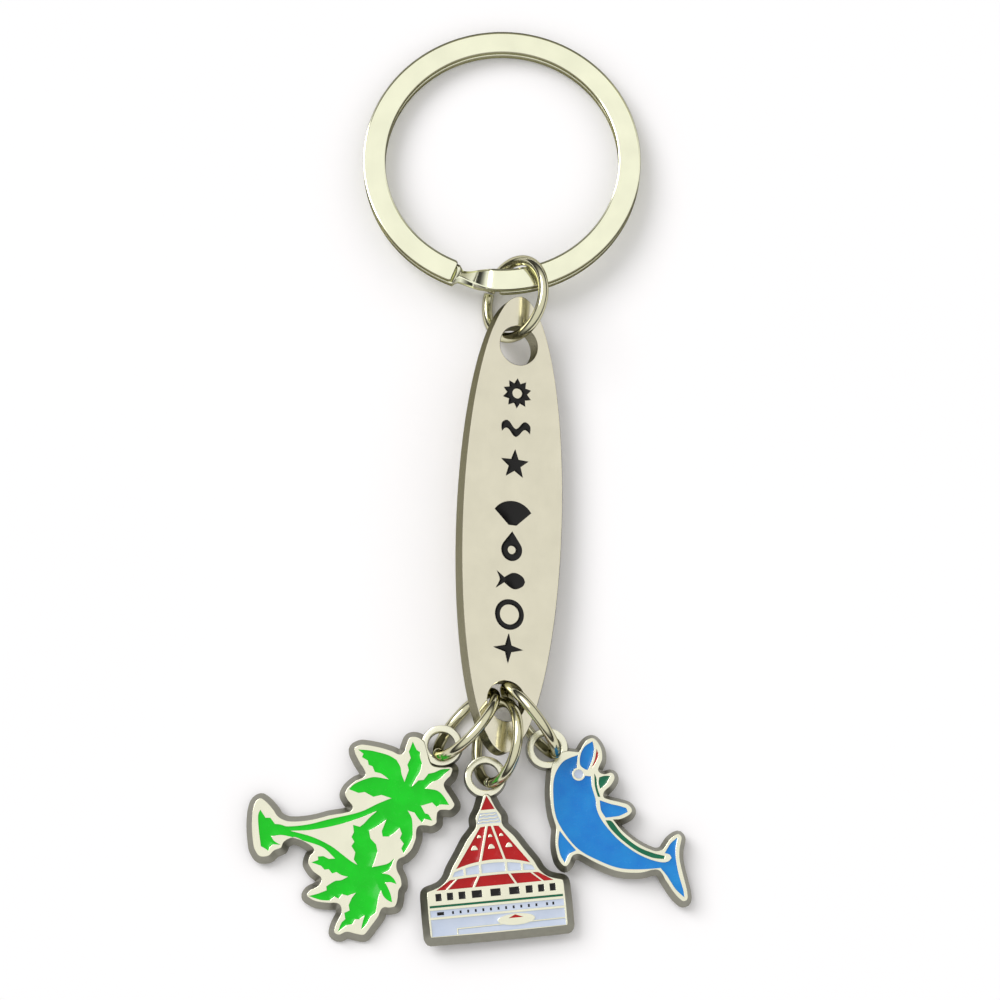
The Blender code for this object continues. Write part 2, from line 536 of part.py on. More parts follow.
def build_tag(pivot):
    place = tag_frame()
    half = TAG_THICKNESS / 2
    angles = [2 * math.pi * k / TAG_STEPS for k in range(TAG_STEPS)]
    outline = [(TAG_WIDTH / 2 * math.cos(a), TAG_LENGTH / 2 * math.sin(a)) for a in angles]
    holes = [circle(TAG_HOLE / 2, (0.0, side * TAG_HOLE_OFFSET)) for side in (-1, 1)]
    tag = add_piece("tag", plan_mesh("tag", [outline, *holes], -half, half), NICKEL, place, pivot)
    for (name, outlines), middle in zip(motif_outlines(), MOTIF_MIDDLES):
        moved = [[(x, y + middle) for x, y in outline] for outline in outlines]
        add_enamel("tag_motif_" + name, tag, moved, half, MOTIF_DEPTH, BLACK, pivot)


def add_enamel(name, plate, outlines, rim, depth, finish, pivot):
    """An enamel fill just under the plate's rim, in a pocket of its own. Later outlines are holes."""
    pocket = [grown(outline, ENAMEL_GAP if i == 0 else -ENAMEL_GAP) for i, outline in enumerate(outlines)]
    floor = rim - depth
    add_boolean(plate, plan_mesh(name + "_pocket", pocket, floor, rim + depth), "DIFFERENCE", pivot)
    fill = plan_mesh(name, outlines, floor + ENAMEL_GAP, rim - ENAMEL_BELOW_RIM)
    add_piece(name, fill, finish, plate.matrix_world.copy(), pivot)


def build_charm_plate(name, face, place, pivot):
    """The cast metal plate: straight at the foot, drafted walls, and an eyelet at its origin."""
    back = -CHARM_THICKNESS / 2
    front = CHARM_THICKNESS / 2
    levels = ((CHARM_DRAFT, back), (CHARM_DRAFT, back + CHARM_LIP), (0.0, front))
    plate = add_piece(name, drafted_mesh(name, face, levels), NICKEL, place, pivot)
    foot = back + EYELET_BASE
    levels = ((0.0, foot), (0.0, foot + CHARM_LIP), (-EYELET_DRAFT, back + EYELET_FACE))
    add_boolean(plate, drafted_mesh("eyelet", circle(EYELET_RADIUS), levels), "UNION", pivot)
    hole = plan_mesh("eyelet_hole", [circle(EYELET_HOLE_RADIUS)], back - 1.0, front + 1.0)
    add_boolean(plate, hole, "DIFFERENCE", pivot)
    return plate


def build_palm(pivot):
    plate = build_charm_plate("palm_plate", smooth(PALM_FACE), charm_frame(PALM_PLACE), pivot)
    front = CHARM_THICKNESS / 2
    add_enamel("palm_green", plate, [PALM_GREEN, PALM_CLEARING], front, ENAMEL_DEPTH, GREEN, pivot)


def dolphin_body():
    """The body's outline, with a bay round the eye that leaves a metal rim."""
    back = smooth(DOLPHIN_BODY)
    x, y = DOLPHIN_EYE_CENTRE
    reach = DOLPHIN_EYE_RADIUS + DOLPHIN_EYE_RIM
    bay = arc((x, y), reach, 104.0, 345.0, 10)
    corner = Vector(DOLPHIN_BODY[-1][:2])
    last = min(range(len(back)), key=lambda k: (Vector(back[k]) - corner).length)
    return back[: last + 1] + bay


def build_dolphin(pivot):
    plate = build_charm_plate("dolphin_plate", smooth(DOLPHIN_FACE), charm_frame(DOLPHIN_PLACE), pivot)
    front = CHARM_THICKNESS / 2
    fills = [
        ("dolphin_body", dolphin_body(), BLUE),
        ("dolphin_snout", smooth(DOLPHIN_SNOUT), BLUE),
        ("dolphin_mouth", smooth(DOLPHIN_MOUTH), RED),
        ("dolphin_eye", circle(DOLPHIN_EYE_RADIUS, DOLPHIN_EYE_CENTRE, 16), WHITE),
        ("dolphin_far_flipper", smooth(DOLPHIN_FAR_FLIPPER), TEAL),
        ("dolphin_near_flipper", smooth(DOLPHIN_NEAR_FLIPPER), BLUE),
        ("dolphin_chin_stripe", smooth(DOLPHIN_CHIN), TEAL),
        ("dolphin_belly_stripe", smooth(DOLPHIN_BELLY), TEAL),
        ("dolphin_dorsal_fin", smooth(DOLPHIN_DORSAL), BLUE),
    ]
    for name, outline, finish in fills:
        add_enamel(name, plate, [outline], front, ENAMEL_DEPTH, finish, pivot)


def edge(left, right, level, arch=0.0, half=1.0):
    """Spots along a cell's edge. The row's edge rises by arch from its ends, at half, to its middle."""
    steps = max(1, round((right - left) / PAVILION_STEP)) if arch else 1
    xs = [left + (right - left) * k / steps for k in range(steps + 1)]
    return [(PAVILION_MIDDLE + x, level + arch * (1 - (x / half) ** 2)) for x in xs]


def cell(top, bottom):
    """A four-sided enamel cell between its top and bottom edges."""
    return edge(*bottom) + edge(*top)[::-1]


def box(half, top, bottom, middle=0.0):
    return cell((middle - half, middle + half, top), (middle - half, middle + half, bottom))


def row_cells(row, splits, line):
    """The cells of a roof row, from left to right. A split is a metal line between two of them."""
    tops = [-row["half_top"]] + [top for top, _ in splits] + [row["half_top"]]
    bottoms = [-row["half_bottom"]] + [bottom for _, bottom in splits] + [row["half_bottom"]]
    last = len(splits)
    cells = []
    for i in range(last + 1):
        left = line / 2 if i > 0 else 0.0
        right = line / 2 if i < last else 0.0
        top_row = (row["top"], row["arches"][0], row["half_top"])
        bottom_row = (row["bottom"], row["arches"][1], row["half_bottom"])
        top = (tops[i] + left, tops[i + 1] - right, *top_row)
        bottom = (bottoms[i] + left, bottoms[i + 1] - right, *bottom_row)
        cells.append(cell(top, bottom))
    return cells


def canopy_island():
    """The oval of metal round the canopy, which stands in the lower wall's enamel."""
    x, y = CANOPY_ISLAND["centre"]
    oval = circle(1.0, steps=CANOPY_ISLAND["steps"])
    return [(x + CANOPY_ISLAND["half_width"] * u, y + CANOPY_ISLAND["half_height"] * v) for u, v in oval]


def build_pavilion(pivot):
    right = [(PAVILION_MIDDLE + x, y, *flag) for x, y, *flag in PAVILION_FACE_RIGHT]
    left = [(2 * PAVILION_MIDDLE - x, y, *flag) for x, y, *flag in right[:0:-1]]
    face = smooth(right + left)
    plate = build_charm_plate("pavilion_plate", face[::-1], charm_frame(PAVILION_PLACE), pivot)
    front = CHARM_THICKNESS / 2

    def fill(name, outline, finish):
        add_enamel("pavilion_" + name, plate, [outline], front, ENAMEL_DEPTH, finish, pivot)

    middle = PAVILION_MIDDLE
    half = SPIRE["half_width"]
    foot = SPIRE["bottom"]
    fill("spire", [(middle - half, foot), (middle + half, foot), (middle, SPIRE["top"])], RED)
    top = (-LANTERN["half_top"], LANTERN["half_top"], LANTERN["top"])
    bottom = (-LANTERN["half_bottom"], LANTERN["half_bottom"], LANTERN["bottom"])
    fill("lantern", cell(top, bottom), WHITE)
    top, bottom = CONE_RIBS
    cone = row_cells(CONE, ((-top, -bottom), (top, bottom)), PAVILION_LINE)
    for name, outline in zip(("left", "middle", "right"), cone):
        fill("cone_" + name, outline, RED)
    splits = [(x, x) for x in BAND_SPLITS]
    for number, outline in enumerate(row_cells(BAND, splits, PAVILION_LINE), 1):
        fill(f"band_{number}", outline, WHITE)
    for number, outline in enumerate(row_cells(SKIRT, SKIRT_SPLITS, PAVILION_LINE), 1):
        fill(f"skirt_{number}", outline, RED)
    for number, (x, width) in enumerate(WINDOWS, 1):
        fill(f"window_{number}", box(width / 2, WINDOW_TOP, WINDOW_BOTTOM, x), BLACK)
    half = WALL_HALF_WIDTH
    fill("cornice", box(half, *CORNICE), TEAL)
    fill("upper_wall", box(half, *UPPER_WALL), WHITE)
    wall = box(half, *LOWER_WALL)
    add_enamel("pavilion_lower_wall", plate, [wall, canopy_island()], front, ENAMEL_DEPTH, WHITE, pivot)
    fill("canopy", CANOPY, RED)


def main():
    build_split_ring()
    upper_hole = in_tag(0.0, TAG_HOLE_OFFSET)
    lower_hole = in_tag(0.0, -TAG_HOLE_OFFSET)
    top_pivot = add_pivot("top_jump_ring_pivot", TOP_RING_HINGE)
    build_jump_ring("top_jump_ring", TOP_RING, (-1.0, 0.3, 0.0), top_pivot)
    tag_pivot = add_pivot("tag_pivot", nearest_on_ring(TOP_RING, upper_hole)[0])
    build_tag(tag_pivot)
    for name, ring, place, build in (
        ("palm", PALM_RING, PALM_PLACE, build_palm),
        ("pavilion", PAVILION_RING, PAVILION_PLACE, build_pavilion),
        ("dolphin", DOLPHIN_RING, DOLPHIN_PLACE, build_dolphin),
    ):
        ring_pivot = add_pivot(name + "_jump_ring_pivot", ring["centre"])
        towards = Vector(ring["centre"]) - lower_hole
        build_jump_ring(name + "_jump_ring", ring, towards, ring_pivot)
        charm_pivot = add_pivot(name + "_charm_pivot", nearest_on_ring(ring, place["eyelet"])[0])
        build(charm_pivot)


clear_scene()
PIECES = make_collection("keychain")
CUTTERS = make_collection("keychain_cutters")
main()
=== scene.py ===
"""Looks for the keychain: plated rings and tag, and three cast charms filled with enamel, on a pale floor."""

import math

import bmesh
import bpy
import numpy as np
from bpy.props import FloatProperty, FloatVectorProperty, IntProperty, PointerProperty
from mathutils import Matrix, Vector


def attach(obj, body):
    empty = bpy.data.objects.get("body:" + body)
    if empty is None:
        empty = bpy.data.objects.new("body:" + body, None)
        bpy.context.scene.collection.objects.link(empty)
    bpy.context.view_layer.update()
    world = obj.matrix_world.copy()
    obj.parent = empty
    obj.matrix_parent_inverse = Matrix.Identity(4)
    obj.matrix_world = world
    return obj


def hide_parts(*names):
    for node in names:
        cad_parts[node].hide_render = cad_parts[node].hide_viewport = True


bl_info = {
    "name": "Keychain looks",
    "version": (1, 0, 0),
    "blender": (4, 5, 0),
    "location": "3D View > Sidebar > Keychain",
    "description": "Builds the finished look of a souvenir keychain around its frame",
    "category": "Object",
}

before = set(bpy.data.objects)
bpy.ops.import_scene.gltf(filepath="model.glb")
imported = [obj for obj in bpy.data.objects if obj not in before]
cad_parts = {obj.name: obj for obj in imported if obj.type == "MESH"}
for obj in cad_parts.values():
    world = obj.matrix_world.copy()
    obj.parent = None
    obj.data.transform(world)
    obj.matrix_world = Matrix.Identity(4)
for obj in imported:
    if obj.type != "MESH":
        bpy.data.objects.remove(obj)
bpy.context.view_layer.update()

MM = 0.001
ORIGIN_SHIFT = Vector((3.297, -2.075, 0.1))

# Where the rings and charms lie, in millimetres before the origin shift.
SPLIT_RING_CENTRE = (0.2, 36.95)
SPLIT_RING_NEAR_LIFT = 2.407
TOP_RING = dict(centre=(1.615, 21.262, 3.644), axis=(-0.711, 0.064, 0.7))
PALM_RING = dict(centre=(-3.494, -24.999, 4.386), axis=(-0.714, 0.583, 0.388))
PAVILION_RING = dict(centre=(-0.293, -26.868, 4.159), axis=(-0.863, 0.081, 0.498))
DOLPHIN_RING = dict(centre=(3.181, -24.692, 4.792), axis=(-0.787, -0.611, 0.079))
PALM_PLACE = dict(eyelet=(-6.116, -26.912, 2.097), turn=0.0, lean=(-0.006, -0.061))
PAVILION_PLACE = dict(eyelet=(-1.535, -30.281, 2.457), turn=5.5, lean=(0.017, -0.022))
DOLPHIN_PLACE = dict(eyelet=(4.945, -27.247, 2.247), turn=0.0, lean=(0.029, -0.028))
TAG_CENTRE = (0.96, -3.5, 4.291)
TAG_LEAN = 2.0
TAG_PITCH = 1.278
TAG_ROLL = 21.487
TAG_SIZE = (11.2, 49.5, 2.2)
TAG_HOLE = 4.3
TAG_HOLE_OFFSET = 19.3
EYELET_HOLE = 2.86
EYELET_SIZE = 4.5

JOINED_CORNER = 50.0
FINE_STEP = 0.14
FILL_TURN = 61.0


def frame_matrix(origin, across, normal):
    """The matrix from a piece's own millimetres to the world."""
    up = Vector(normal).normalized()
    side = Vector(across)
    side = (side - up * side.dot(up)).normalized()
    turn = Matrix((side, up.cross(side), up)).transposed().to_4x4()
    return Matrix.Translation((Vector(origin) + ORIGIN_SHIFT) * MM) @ turn @ Matrix.Scale(MM, 4)


def tag_matrix():
    lean = math.radians(TAG_LEAN)
    across = Vector((math.cos(lean), -math.sin(lean), 0.0))
    along = Vector((math.sin(lean), math.cos(lean), 0.0))
    along = Matrix.Rotation(-math.radians(TAG_PITCH), 3, across) @ along
    normal = Matrix.Rotation(math.radians(TAG_ROLL), 3, along) @ across.cross(along)
    return frame_matrix(TAG_CENTRE, along.cross(normal), normal)


def charm_matrix(place):
    turn = math.radians(place["turn"])
    return frame_matrix(place["eyelet"], (math.cos(turn), math.sin(turn), 0.0), (*place["lean"], 1.0))


def linear(code):
    """A linear colour from an sRGB hex code."""
    parts = [int(code[i : i + 2], 16) / 255 for i in (1, 3, 5)]
    return [p / 12.92 if p <= 0.04045 else ((p + 0.055) / 1.055) ** 2.4 for p in parts] + [1.0]


# Outlines


def plan_loops(node, matrix):
    """The closed outlines of a CAD node's front face in its own millimetres, the outer one first."""
    shape = bmesh.new()
    shape.from_mesh(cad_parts[node].data)
    bmesh.ops.remove_doubles(shape, verts=shape.verts, dist=1e-6)
    bmesh.ops.transform(shape, matrix=matrix.inverted(), verts=shape.verts)
    shape.normal_update()
    top = max(v.co.z for v in shape.verts)
    front = {f for f in shape.faces if f.normal.z > 0.99 and abs(f.calc_center_median().z - top) < 0.01}
    onward = {}
    for face in front:
        for loop in face.loops:
            if any(other not in front for other in loop.edge.link_faces):
                onward[loop.vert] = loop.link_loop_next.vert
    loops = []
    while onward:
        start, vert = onward.popitem()
        outline = [start]
        while vert is not start:
            outline.append(vert)
            vert = onward.pop(vert)
        loops.append(np.array([v.co[:2] for v in outline]))
    shape.free()
    return sorted(loops, key=lambda outline: -abs(area(outline)))


def area(outline):
    x, y = np.asarray(outline).T
    return (x * np.roll(y, -1) - y * np.roll(x, -1)).sum() / 2


def refined(outline, corner=JOINED_CORNER, step=FINE_STEP):
    """A finer outline through the same points, round everywhere but at the sharp corners."""
    spots = np.asarray(outline)
    chords = np.roll(spots, -1, axis=0) - spots
    spots = spots[np.linalg.norm(chords, axis=1) > 0.02]
    count = len(spots)
    chords = np.roll(spots, -1, axis=0) - spots
    lengths = np.linalg.norm(chords, axis=1)
    heading = chords / lengths[:, None]
    turned = np.degrees(np.arccos(np.clip((heading * np.roll(heading, 1, axis=0)).sum(1), -1, 1)))
    sharp = turned > corner
    tangent = np.roll(spots, -1, axis=0) - np.roll(spots, 1, axis=0)
    tangent /= np.linalg.norm(tangent, axis=1)[:, None]
    finer = []
    for i in range(count):
        after = (i + 1) % count
        leaving = chords[i] if sharp[i] else tangent[i] * lengths[i]
        arriving = chords[i] if sharp[after] else tangent[after] * lengths[i]
        parts = max(1, round(lengths[i] / step))
        for t in np.arange(parts) / parts:
            finer.append(
                spots[i] * (2 * t**3 - 3 * t**2 + 1)
                + leaving * (t**3 - 2 * t**2 + t)
                + spots[after] * (3 * t**2 - 2 * t**3)
                + arriving * (t**3 - t**2)
            )
    return np.array(finer)


def distances_to(spots, outline):
    edges = np.roll(outline, -1, axis=0) - outline
    reach = spots[:, None, :] - outline[None]
    along = np.clip((reach * edges).sum(2) / (edges**2).sum(1), 0.0, 1.0)
    return np.linalg.norm(reach - along[..., None] * edges, axis=2).min(axis=1)


def grown(outline, distance):
    """The outline moved outwards. Where that folds it in a tight corner, the fold is pulled straight."""
    spots = np.asarray(outline)
    if area(spots) < 0:
        spots = spots[::-1]
    edges = np.roll(spots, -1, axis=0) - spots
    normals = np.stack([edges[:, 1], -edges[:, 0]], axis=1)
    normals /= np.linalg.norm(normals, axis=1)[:, None]
    corners = normals + np.roll(normals, 1, axis=0)
    corners /= np.linalg.norm(corners, axis=1)[:, None]
    moved = spots + corners * (distance / np.maximum((corners * normals).sum(axis=1), 0.6))[:, None]
    kept = np.flatnonzero(distances_to(moved, spots) > 0.97 * abs(distance))
    if len(kept) < 3:
        return spots
    everywhere = np.arange(len(spots))
    straight = [np.interp(everywhere, kept, moved[kept, axis], period=len(spots)) for axis in (0, 1)]
    return np.stack(straight, axis=1)


def surrounds(outline, other):
    """Whether the outline goes all the way round the other one."""
    reach = (outline - other[0]) @ np.array((1, 1j))
    return abs(np.angle(np.roll(reach, -1) / reach).sum()) > 3.0


def circle(radius, centre=(0.0, 0.0), steps=96):
    turn = np.arange(steps) * 2 * np.pi / steps
    return np.stack([centre[0] + radius * np.cos(turn), centre[1] + radius * np.sin(turn)], axis=1)


# Meshes


def plan_shape(outlines, levels):
    """A closed body through each outline grown by every level's (distance, height). Later outlines are holes."""
    shape = bmesh.new()
    ends = ([], [])
    for number, outline in enumerate(outlines):
        side = -1 if number else 1
        rows = [[shape.verts.new(spot) for spot in lifted(grown(outline, side * d), h)] for d, h in levels]
        for lower, upper in zip(rows, rows[1:]):
            for k in range(len(lower)):
                shape.faces.new((lower[k - 1], lower[k], upper[k], upper[k - 1]))
        for end, row in zip(ends, (rows[0], rows[-1])):
            end += [shape.edges.get((row[k - 1], row[k])) for k in range(len(row))]
    turn_to_fill(shape, FILL_TURN)
    for end in ends:
        bmesh.ops.triangle_fill(shape, use_beauty=True, edges=end)
    turn_to_fill(shape, -FILL_TURN)
    bmesh.ops.recalc_face_normals(shape, faces=shape.faces)
    return shape


def turn_to_fill(shape, degrees):
    """Turns a plan so that none of its edges is level, because a fill can take the wrong side of a level edge."""
    turn = Matrix.Rotation(math.radians(degrees), 3, "Z")
    bmesh.ops.rotate(shape, verts=shape.verts, cent=(0.0, 0.0, 0.0), matrix=turn)


def rounded_rim(low, high, edge):
    """Levels for plan_shape: straight walls and a rim rounded by edge at the top."""
    return ((0.0, low), (0.0, high - edge), (-0.29 * edge, high - 0.29 * edge), (-edge, high))


def paint_shade_on_sideways_faces(shape, limit=0.35):
    """Gives the second finish to every face that looks sideways; that finish is a darker copy of the metal, painted
    shade for the sides.
    """
    shape.normal_update()
    for face in shape.faces:
        face.material_index = 0 if abs(face.normal.z) > limit else 1


def loft(shape, loops, cap_first=True, cap_last=True, closed=False):
    """Faces through equal-count loops of (x, y, z) points. Returns the new faces."""
    rows = [[shape.verts.new(spot) for spot in loop] for loop in loops]
    faces = []
    pairs = list(zip(rows, rows[1:]))
    if closed:
        pairs.append((rows[-1], rows[0]))
    for lower, upper in pairs:
        for i in range(len(lower)):
            faces.append(shape.faces.new((lower[i - 1], lower[i], upper[i], upper[i - 1])))
    if cap_first:
        faces.append(shape.faces.new(reversed(rows[0])))
    if cap_last:
        faces.append(shape.faces.new(rows[-1]))
    return faces


def lifted(outline, height):
    return [(x, y, height) for x, y in outline]


def add_shape(target, other, slot=0):
    """Copies one bmesh into another with a material slot."""
    verts = {v: target.verts.new(v.co) for v in other.verts}
    for face in other.faces:
        target.faces.new([verts[v] for v in face.verts]).material_index = slot
    other.free()


def finish_piece(name, shape, matrix, materials, body, nodes, smooth=40.0):
    """The finished piece in the row frame, riding on its body in place of its CAD nodes."""
    bmesh.ops.transform(shape, matrix=matrix, verts=shape.verts)
    bmesh.ops.triangulate(shape, faces=[f for f in shape.faces if len(f.verts) > 4])
    mesh = bpy.data.meshes.new(name)
    shape.to_mesh(mesh)
    shape.free()
    for material in materials:
        mesh.materials.append(material)
    mesh.shade_smooth()
    mesh.set_sharp_from_angle(angle=math.radians(smooth))
    piece = bpy.data.objects.new(name, mesh)
    bpy.context.scene.collection.objects.link(piece)
    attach(piece, body)
    if nodes:
        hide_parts(*nodes)
    return piece


# Materials


def add(tree, kind, settings=(), **links):
    """A node with its settings, and the sockets or values that go into its inputs."""
    node = tree.nodes.new(kind)
    for key, value in dict(settings).items():
        setattr(node, key, value)
    for key, value in links.items():
        socket = node.inputs[int(key[1:])] if key[0] == "i" and key[1:].isdigit() else node.inputs[key.replace("_", " ")]
        if isinstance(value, bpy.types.NodeSocket):
            tree.links.new(value, socket)
        else:
            socket.default_value = value
    return node


def new_material(name, colour, metallic, roughness):
    """A Principled material, with its tree, its shader and the object's own coordinates."""
    material = bpy.data.materials.new(name)
    material.use_nodes = True
    tree = material.node_tree
    shader = tree.nodes["Principled BSDF"]
    shader.inputs["Base Color"].default_value = colour
    shader.inputs["Metallic"].default_value = metallic
    shader.inputs["Roughness"].default_value = roughness
    place = add(tree, "ShaderNodeTexCoord").outputs["Object"]
    return material, tree, shader, place


def noise(tree, place, per_mm, detail=3.0, rough=0.5, stretch=None):
    """Fractal noise with about per_mm features in each millimetre."""
    if stretch:
        mapping = add(tree, "ShaderNodeMapping", Vector=place)
        mapping.inputs["Scale"].default_value = stretch
        place = mapping.outputs[0]
    node = add(tree, "ShaderNodeTexNoise", Vector=place, Scale=per_mm / MM, Detail=detail, Roughness=rough)
    return node.outputs["Fac"]


def spread(tree, factor, low, high, start=0.3, end=0.7):
    """The factor stretched from start..end to low..high."""
    node = add(tree, "ShaderNodeMapRange", Value=factor, From_Min=start, From_Max=end, To_Min=low, To_Max=high)
    return node.outputs[0]


def mixed(tree, factor, one, other):
    node = add(tree, "ShaderNodeMix", dict(data_type="RGBA"), i0=factor, i6=one, i7=other)
    return node.outputs[2]


def plated_nickel(name, code, roughness, glancing="#6B664A"):
    """Polished nickel plate with a faint champagne tint, fine polishing marks and cloudy spots."""
    colour = linear(code)
    material, tree, shader, place = new_material(name, colour, 1.0, roughness)
    clouds = noise(tree, place, 0.35, 4.0)
    darker = [c * 0.93 for c in colour[:3]] + [1.0]
    tree.links.new(mixed(tree, spread(tree, clouds, 0.0, 1.0), darker, colour), shader.inputs["Base Color"])
    marks = noise(tree, place, 9.0, 5.0, 0.6, (1.0, 0.06, 1.0))
    worn = add(tree, "ShaderNodeMath", dict(operation="ADD"), i0=spread(tree, marks, -0.03, 0.05), i1=roughness)
    tree.links.new(worn.outputs[0], shader.inputs["Roughness"])
    shader.inputs["Specular Tint"].default_value = linear(glancing)
    uneven = noise(tree, place, 0.4, 1.0)
    bump = add(tree, "ShaderNodeBump", Strength=0.05, Distance=0.04 * MM, Height=uneven)
    fine = add(tree, "ShaderNodeBump", Strength=0.03, Distance=0.004 * MM, Height=marks, Normal=bump.outputs[0])
    tree.links.new(fine.outputs[0], shader.inputs["Normal"])
    return material


def satin_nickel_with_painted_shade(name, code):
    """Satin plated zinc, as cast, with a fine grain; its soft grey, darker than the polished face, is painted shade
    for the walls that look sideways.
    """
    colour = linear(code)
    material, tree, shader, place = new_material(name, colour, 1.0, 0.42)
    patches = noise(tree, place, 1.2, 4.0)
    darker = [c * 0.78 for c in colour[:3]] + [1.0]
    tree.links.new(mixed(tree, spread(tree, patches, 0.0, 1.0), darker, colour), shader.inputs["Base Color"])
    tree.links.new(spread(tree, patches, 0.36, 0.5), shader.inputs["Roughness"])
    grain = noise(tree, place, 14.0, 3.0, 0.6)
    bump = add(tree, "ShaderNodeBump", Strength=0.35, Distance=0.02 * MM, Height=grain)
    tree.links.new(bump.outputs[0], shader.inputs["Normal"])
    return material


def enamel(name, code, deep):
    """Soft enamel, poured and baked: glossy, gently wavy, a little darker where it lies thick."""
    colour = linear(code)
    material, tree, shader, place = new_material(name, colour, 0.0, 0.22)
    pools = noise(tree, place, 0.45, 3.0)
    tree.links.new(mixed(tree, spread(tree, pools, 0.0, 1.0), linear(deep), colour), shader.inputs["Base Color"])
    tree.links.new(spread(tree, noise(tree, place, 2.0), 0.16, 0.3), shader.inputs["Roughness"])
    waves = noise(tree, place, 0.9, 2.0)
    bump = add(tree, "ShaderNodeBump", Strength=0.3, Distance=0.05 * MM, Height=waves)
    specks = noise(tree, place, 11.0, 2.0)
    fine = add(tree, "ShaderNodeBump", Strength=0.06, Distance=0.01 * MM, Height=specks, Normal=bump.outputs[0])
    tree.links.new(fine.outputs[0], shader.inputs["Normal"])
    shader.inputs["Specular IOR Level"].default_value = 0.25
    shader.inputs["Coat Weight"].default_value = 0.12
    shader.inputs["Coat Roughness"].default_value = 0.06
    return material


def paper(name, code):
    """Smooth matt card for the floor."""
    colour = linear(code)
    material, tree, shader, place = new_material(name, colour, 0.0, 0.7)
    patches = noise(tree, place, 0.02, 3.0)
    darker = [c * 0.985 for c in colour[:3]] + [1.0]
    tree.links.new(mixed(tree, patches, darker, colour), shader.inputs["Base Color"])
    bump = add(tree, "ShaderNodeBump", Strength=0.04, Distance=0.02 * MM, Height=noise(tree, place, 3.0))
    tree.links.new(bump.outputs[0], shader.inputs["Normal"])
    shader.inputs["Specular IOR Level"].default_value = 0.1
    return material


FINISHES = {}


def finish(name):
    """Each material is made once, the first time that a piece asks for it."""
    makers = {
        "band": lambda: plated_nickel("band_polished_nickel", "#FAFBE0", 0.09),
        # The edge finish is a darker copy of the polished nickel: painted shade for the faces that look sideways.
        "edge": lambda: plated_nickel("edge_painted_shade_nickel", "#A5A28F", 0.26, "#8C8A7C"),
        "wire": lambda: plated_nickel("wire_drawn_nickel", "#D8D5B6", 0.12),
        "tag": lambda: plated_nickel("tag_polished_nickel", "#E6E1CC", 0.14),
        "face": lambda: plated_nickel("charm_face_polished_nickel", "#F1F0DA", 0.2),
        # The wall finish has a real satin grain on a darker grey, and that grey is painted shade for the sideways
        # walls.
        "wall": lambda: satin_nickel_with_painted_shade("charm_wall_satin_nickel_painted_shade", "#9A998C"),
        "green": lambda: enamel("palm_green_enamel", "#00CC18", "#00BE12"),
        "blue": lambda: enamel("dolphin_blue_enamel", "#1788D2", "#0C74CA"),
        "teal": lambda: enamel("teal_enamel", "#026E4C", "#025E40"),
        "red": lambda: enamel("red_enamel", "#B5060C", "#A00409"),
        "white": lambda: enamel("white_enamel", "#C9D2E3", "#BFCADE"),
        "black": lambda: enamel("black_enamel", "#0A0808", "#060505"),
    }
    if name not in FINISHES:
        FINISHES[name] = makers[name]()
    return FINISHES[name]


# Settings


class KeychainBandSettings(bpy.types.PropertyGroup):
    """The flat band of the split ring."""

    outer: FloatProperty(name="Outer diameter", description="Across the ring, in millimetres", default=30.0)
    width: FloatProperty(name="Width", description="Of the band, in millimetres", default=2.4)
    thickness: FloatProperty(name="Thickness", description="Of one turn, in millimetres", default=0.92)
    gap: FloatProperty(name="Gap", description="Between the two turns, in millimetres", default=0.06)
    chamfer: FloatProperty(name="Chamfer", description="Of the band's long edges, in millimetres", default=0.16)
    joggle: FloatVectorProperty(
        name="Joggle", description="Start and end of the step between turns, in degrees", size=2, default=(-111.0, -92.0)
    )
    twist: FloatProperty(name="Twist", description="Of the band in its joggle, in degrees", default=54.0)
    step: FloatProperty(name="Step", description="Turn between two sections, in degrees", default=1.0)


class KeychainWireSettings(bpy.types.PropertyGroup):
    """The round wire of the jump rings."""

    wire: FloatProperty(name="Wire", description="Diameter, in millimetres", default=1.1)
    radius: FloatProperty(name="Ring radius", description="To the middle of the wire, in millimetres", default=4.275)
    slit: FloatProperty(name="Slit", description="Between the ends of the wire, in millimetres", default=0.12)
    steps: IntProperty(name="Steps", description="Sections round the ring", default=120, min=24)
    sides: IntProperty(name="Sides", description="Of the wire's section", default=32, min=8)


class KeychainEnamelSettings(bpy.types.PropertyGroup):
    """The enamel and the metal round it."""

    depth: FloatProperty(name="Depth", description="Of an enamel cell, in millimetres", default=0.5)
    below: FloatProperty(name="Below rim", description="Of the enamel's edge, in millimetres", default=0.03)
    sag: FloatProperty(name="Sag", description="From the edge to the middle, in millimetres", default=0.07)
    rim: FloatProperty(name="Rim rounding", description="Of the metal lines, in millimetres", default=0.03)
    draft: FloatProperty(name="Draft", description="Of the cast walls, in millimetres", default=0.5)
    thickness: FloatProperty(name="Thickness", description="Of a charm, in millimetres", default=1.7)


class KeychainSettings(bpy.types.PropertyGroup):
    """Everything that the panel shows."""

    band: PointerProperty(name="Band", description="The split ring's flat band", type=KeychainBandSettings)
    wire: PointerProperty(name="Wire", description="The jump rings' round wire", type=KeychainWireSettings)
    enamel: PointerProperty(name="Enamel", description="The charms' cells and metal", type=KeychainEnamelSettings)


# Pieces


def fill_cell(name, node, matrix, rim, finish_name, body, corner=JOINED_CORNER):
    """The enamel in one cell: it climbs the metal at its edge and sags towards its middle."""
    settings = bpy.context.scene.keychain.enamel
    outlines = [refined(outline, corner) for outline in plan_loops(node, matrix)]
    edge = rim - settings.below
    floor = rim - settings.depth + 0.02
    levels = ((0.03, floor), (0.03, edge), (-0.04, edge - 0.35 * settings.sag), (-0.12, edge - settings.sag))
    shape = plan_shape(outlines, levels)
    return finish_piece(name, shape, matrix, [finish(finish_name)], body, [node], 60.0)


